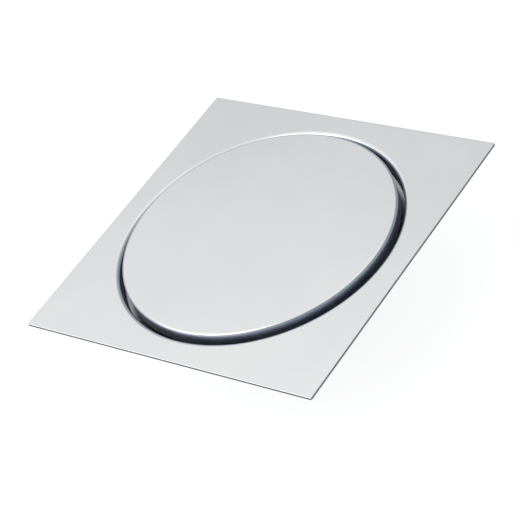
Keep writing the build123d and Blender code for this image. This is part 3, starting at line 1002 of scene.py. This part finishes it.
def rod():
    """Sliding rod: thin tail, spring collar and threaded top."""
    tail, top = low("plunger_rod"), high("plunger_rod")
    start = low("lid_insert")
    outline = rounded([
        (0, tail, 0),
        (TAIL_R, tail, 0.5),
        (TAIL_R, SPRING_COLLAR_Z, 0.2),
        (SPRING_COLLAR_R, SPRING_COLLAR_Z, 0.25),
        (SPRING_COLLAR_R, SPRING_COLLAR_Z + SPRING_COLLAR, 0.25),
        (ROD_R, SPRING_COLLAR_Z + SPRING_COLLAR, 0.2),
    ], 4)
    outline += [(ROD_R, start + (top - 0.6 - start) * k / 40) for k in range(41)]
    outline += [(ROD_R - 0.6, top), (0, top)]
    return lathe("threaded_rod", outline, 96, rod_thread)


def spring():
    """Compression spring of round wire, filling the height of the CAD node's box."""
    box_low, box_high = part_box("return_spring")
    bottom = box_low.z / MM + SPRING_WIRE_R
    height = box_high.z / MM - SPRING_WIRE_R - bottom
    bm = bmesh.new()
    rings = []
    sides = 14
    steps = SPRING_TURNS * 48
    for step in range(steps + 1):
        share = step / steps
        angle = 2 * math.pi * SPRING_TURNS * share
        x, y = SPRING_R * math.cos(angle), SPRING_R * math.sin(angle)
        centre = Vector((x, y, bottom + height * share))
        out = Vector((math.cos(angle), math.sin(angle), 0))
        ring = []
        for a in angles_round(sides):
            across = out * math.cos(a) + Vector((0, 0, math.sin(a)))
            ring.append(bm.verts.new((centre + SPRING_WIRE_R * across) * MM))
        rings.append(ring)
    for one, other in zip(rings, rings[1:]):
        for k in range(sides):
            after = (k + 1) % sides
            bm.faces.new([one[k], one[after], other[after], other[k]])
    bm.faces.new(rings[0])
    bm.faces.new(rings[-1])
    piece = finished("coil_spring", bm)
    piece.data.materials.append(MATERIALS["steel_bright"])
    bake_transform(piece)
    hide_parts("return_spring")


stands_for("insert_bridge", bridge())
stands_for("bridge_washer", lathe("soft_washer", eased([
    (TUBE_R + FIT, low("bridge_washer")),
    (reach("bridge_washer"), low("bridge_washer")),
    (reach("bridge_washer"), high("bridge_washer")),
    (TUBE_R + FIT, high("bridge_washer")),
], 0.15), 128))
stands_for("cartridge_tube", tube())
stands_for("cartridge_head", head())
stands_for("rod_wiper", wiper())
stands_for("cartridge_nut", nut())
stands_for("lock_washer", lathe("toothed_washer", [
    (TUBE_R + FIT, low("lock_washer")),
    (reach("lock_washer"), low("lock_washer")),
    (reach("lock_washer"), high("lock_washer")),
    (TUBE_R + FIT, high("lock_washer")),
], 288, toothed))
stands_for("cartridge_cap", cap())
stands_for("cam_washer", lathe("thrust_washer", eased([
    (ROD_R + 0.15, low("cam_washer")),
    (CAM_BORE_R - FIT, low("cam_washer")),
    (CAM_BORE_R - FIT, high("cam_washer")),
    (ROD_R + 0.15, high("cam_washer")),
]), 96))
stands_for("cross_pin", pin())
stands_for("plunger_rod", rod())
spring()

# ---------------------------------------------------------------- lid

lid_top, lid_skirt, lid_r = high("lid_disc"), low("lid_disc"), reach("lid_disc")
lid_under = lid_top - SHEET
# The carrier's lowest point is its gasket wall, and the boss is drawn down to almost that height
boss_bottom = low("lid_carrier") + FIT


def cover():
    """Blank pressed cover with a rounded shoulder and a short skirt."""
    return lathe("lid_cover", rounded([
        (0, lid_top, 0),
        (lid_r * 0.5, lid_top, 0),
        (lid_r - SHOULDER_R - 0.3, lid_top, 0),
        (lid_r, lid_top, SHOULDER_R),
        (lid_r, lid_skirt, 0.2),
        (lid_r - SHEET, lid_skirt, 0.2),
        (lid_r - SHEET, lid_under, 0.15),
        (0, lid_under, 0),
    ], 12), 384)


def carrier():
    """Moulded disc with boss, gasket wall, rim and radial ribs."""
    wall_inner, wall_outer = SEAL_WALL_R
    body = lathe("ribbed_carrier", rounded([
        (0, high("lid_insert"), 0),
        (INSERT_R, high("lid_insert"), 0),
        (INSERT_R, boss_bottom, 0.3),
        (BOSS_R, boss_bottom, 0.4),
        (BOSS_R, CARRIER_BOTTOM, 0.6),
        (wall_inner, CARRIER_BOTTOM, 0.5),
        (wall_inner, SEAL_WALL_BOTTOM, 0.3),
        (wall_outer, SEAL_WALL_BOTTOM, 0.3),
        (wall_outer, CARRIER_BOTTOM, 0.5),
        (CARRIER_R - RIB_WIDTH, CARRIER_BOTTOM, 0.5),
        (CARRIER_R - RIB_WIDTH, RIM_WALL_BOTTOM, 0.3),
        (CARRIER_R, RIM_WALL_BOTTOM, 0.3),
        (CARRIER_R, lid_under, 0.2),
        (0, lid_under, 0),
    ], 4))
    ribs = []
    height = CARRIER_BOTTOM + 0.2 - RIB_BOTTOM
    outer_end = CARRIER_R - RIB_WIDTH - 1.0
    for start, end in ((BOSS_R - 1, wall_inner + 0.5), (wall_outer - 0.5, outer_end)):
        centre = ((start + end) / 2, 0, RIB_BOTTOM + height / 2)
        size = (end - start, RIB_WIDTH, height)
        ribs += [(centre, size, angle) for angle in angles_round(RIB_COUNT)]
    return combined(body, blocks("ribs", ribs, 0.15), "UNION")


def knurled(radius, height, angle):
    """Fine straight knurl round the insert."""
    plain = 0.6
    if radius < INSERT_R - 1 or not low("lid_insert") + plain < height < high("lid_insert") - plain:
        return radius
    return radius - KNURL_DEPTH * abs(math.sin(angle * KNURL_WAVES))


def insert():
    """Brass bush with plain ends and a knurl between them."""
    bottom, top = low("lid_insert"), high("lid_insert")
    bore, outer = ROD_R + FIT, INSERT_R - FIT
    outline = [(bore, bottom + 0.3), (bore + 0.3, bottom), (outer - 0.2, bottom), (outer, bottom + 0.2)]
    outline += [(outer, bottom + 0.59), (outer, bottom + 0.9), (outer, top - 0.9), (outer, top - 0.59)]
    outline += [(outer, top), (bore, top)]
    return lathe("knurled_insert", outline, 360, knurled)


def gasket():
    """Rubber ring of U section pushed onto the gasket wall."""
    wall_inner, wall_outer = SEAL_WALL_R
    bottom, top = low("lid_gasket"), high("lid_gasket")
    inner, outer = GASKET_R
    groove = SEAL_WALL_BOTTOM - FIT
    return lathe("pressed_gasket", rounded([
        (inner + 0.8, bottom, 0.3),
        (outer - 0.8, bottom, 0.3),
        (outer, bottom + 0.7, 0.3),
        (outer, top, 0.2),
        (wall_outer + FIT, top, 0.15),
        (wall_outer + FIT, groove, 0.1),
        (wall_inner - FIT, groove, 0.1),
        (wall_inner - FIT, top, 0.15),
        (inner, top, 0.2),
        (inner, bottom + 0.7, 0.3),
    ], 4))


stands_for("lid_disc", cover())
stands_for("lid_carrier", carrier())
stands_for("lid_insert", insert())
stands_for("lid_gasket", gasket())

# CAD nodes that stay as they are, with finished materials
for node, part in frame["nodes"].items():
    if not part.hide_render:
        part.data.materials.clear()
        part.data.materials.append(MATERIALS[SLOT_OF[node]])

# ---------------------------------------------------------------- studio

FLOOR_HALF = 8.0
FLOOR_GLOW = 0.85
FLOOR_TONES = ((0.22, 0.22, 0.22), (0.24, 0.24, 0.24))


def floor():
    """Plain pale ground under the drain, clear from below so that the underside can be looked at."""
    bm = bmesh.new()
    bmesh.ops.create_grid(bm, size=FLOOR_HALF, x_segments=2, y_segments=2)
    piece = finished("studio_floor", bm)
    piece.location.z = CAD_BOX[0][2]
    n = Nodes("studio_floor")
    n.into("Base Color", n.colours(n.noise(n.place, 3.0, 2.0), *FLOOR_TONES))
    n.value(Roughness=0.9, Emission_Color=(1, 1, 1, 1), Emission_Strength=FLOOR_GLOW)
    sides = n.add("ShaderNodeMixShader")
    n.link(n.add("ShaderNodeNewGeometry").outputs["Backfacing"], sides.inputs[0])
    n.link(n.shader.outputs[0], sides.inputs[1])
    n.link(n.add("ShaderNodeBsdfTransparent").outputs[0], sides.inputs[2])
    n.link(sides.outputs[0], n.tree.nodes["Material Output"].inputs["Surface"])
    piece.data.materials.append(n.material)


# Light of the sky: height above its slanted horizon as a share of a right angle, brightness, blueness
SKY = (
    (0.00, 0.32, 1.16),
    (0.18, 0.36, 1.14),
    (0.30, 0.52, 1.07),
    (0.36, 0.66, 1.03),
    (0.42, 0.82, 1.01),
    (0.46, 0.93, 1.00),
    (0.50, 1.01, 1.00),
    (0.62, 1.00, 1.00),
    (0.78, 0.88, 1.00),
    (1.00, 0.86, 1.00),
)
# How far the top of the sky leans over, and which way, in degrees
SKY_SLANT = 20.0
SKY_SLANT_AZIMUTH = -145.0
# A broad lamp in the sky: where it hangs, its brightness, its full core and its faded edge, in degrees
KEY_AZIMUTH = -125.0
KEY_ELEVATION = 50.0
KEY_GLOW = 1.0
KEY_CORE = 12.0
KEY_EDGE = 38.0


def towards(azimuth, elevation):
    """Unit vector towards a place in the sky, in degrees."""
    azimuth, elevation = math.radians(azimuth), math.radians(elevation)
    level = math.cos(elevation)
    return (level * math.cos(azimuth), level * math.sin(azimuth), math.sin(elevation))


def studio():
    """White to the camera. The drain is lit by a sky that dims towards a slanted horizon, and by a lamp."""
    world = bpy.data.worlds.new("studio")
    bpy.context.scene.world = world
    world.use_nodes = True
    nodes, links = world.node_tree.nodes, world.node_tree.links
    outwards = nodes.new("ShaderNodeTexCoord").outputs["Generated"]

    def nearness(azimuth, elevation):
        """Cosine of the angle between each direction and a place in the sky."""
        node = nodes.new("ShaderNodeVectorMath")
        node.operation = "DOT_PRODUCT"
        node.inputs[1].default_value = towards(azimuth, elevation)
        links.new(outwards, node.inputs[0])
        return node.outputs["Value"]

    angle = nodes.new("ShaderNodeMath")
    angle.operation = "ARCSINE"
    links.new(nearness(SKY_SLANT_AZIMUTH, 90 - SKY_SLANT), angle.inputs[0])
    share = nodes.new("ShaderNodeMath")
    share.operation = "DIVIDE"
    share.inputs[1].default_value = math.pi / 2
    links.new(angle.outputs[0], share.inputs[0])
    ramp = nodes.new("ShaderNodeValToRGB")
    links.new(share.outputs[0], ramp.inputs[0])
    elements = ramp.color_ramp.elements
    elements.remove(elements[-1])
    for index, (height, bright, blue) in enumerate(SKY):
        element = elements[0] if index == 0 else elements.new(height)
        element.position = height
        element.color = (bright / 2 * (2 - blue), bright / 2, bright / 2 * blue, 1)
    double = nodes.new("ShaderNodeVectorMath")
    double.operation = "SCALE"
    double.inputs["Scale"].default_value = 2.0
    links.new(ramp.outputs[0], double.inputs[0])
    key = nodes.new("ShaderNodeMapRange")
    key.interpolation_type = "SMOOTHSTEP"
    key.inputs["From Min"].default_value = math.cos(math.radians(KEY_EDGE))
    key.inputs["From Max"].default_value = math.cos(math.radians(KEY_CORE))
    key.inputs["To Max"].default_value = KEY_GLOW
    links.new(nearness(KEY_AZIMUTH, KEY_ELEVATION), key.inputs["Value"])
    lit = nodes.new("ShaderNodeVectorMath")
    links.new(double.outputs[0], lit.inputs[0])
    links.new(key.outputs["Result"], lit.inputs[1])
    pick = nodes.new("ShaderNodeMix")
    pick.data_type = "RGBA"
    pick.inputs["B"].default_value = (1, 1, 1, 1)
    links.new(nodes.new("ShaderNodeLightPath").outputs["Is Camera Ray"], pick.inputs["Factor"])
    links.new(lit.outputs[0], pick.inputs["A"])
    links.new(pick.outputs["Result"], nodes["Background"].inputs[0])


def camera():
    """The photograph's view: long lens, looking down at the plate, rolled."""
    azimuth, elevation = math.radians(VIEW_AZIMUTH), math.radians(VIEW_ELEVATION)
    back = Vector((
        math.sin(azimuth) * math.cos(elevation),
        -math.cos(azimuth) * math.cos(elevation),
        math.sin(elevation),
    ))
    lens = bpy.data.cameras.new("view")
    lens.lens = VIEW_LENS
    lens.clip_start = 0.01
    eye = bpy.data.objects.new("view", lens)
    bpy.context.scene.collection.objects.link(eye)
    turn = (-back).to_track_quat("-Z", "Y").to_matrix().to_4x4()
    roll = Matrix.Rotation(math.radians(VIEW_ROLL), 4, "Z")
    eye.matrix_world = Matrix.Translation(AIM + back * VIEW_DISTANCE) @ turn @ roll
    bpy.context.scene.camera = eye


floor()
studio()
camera()
bpy.context.scene.view_settings.view_transform = "Standard"
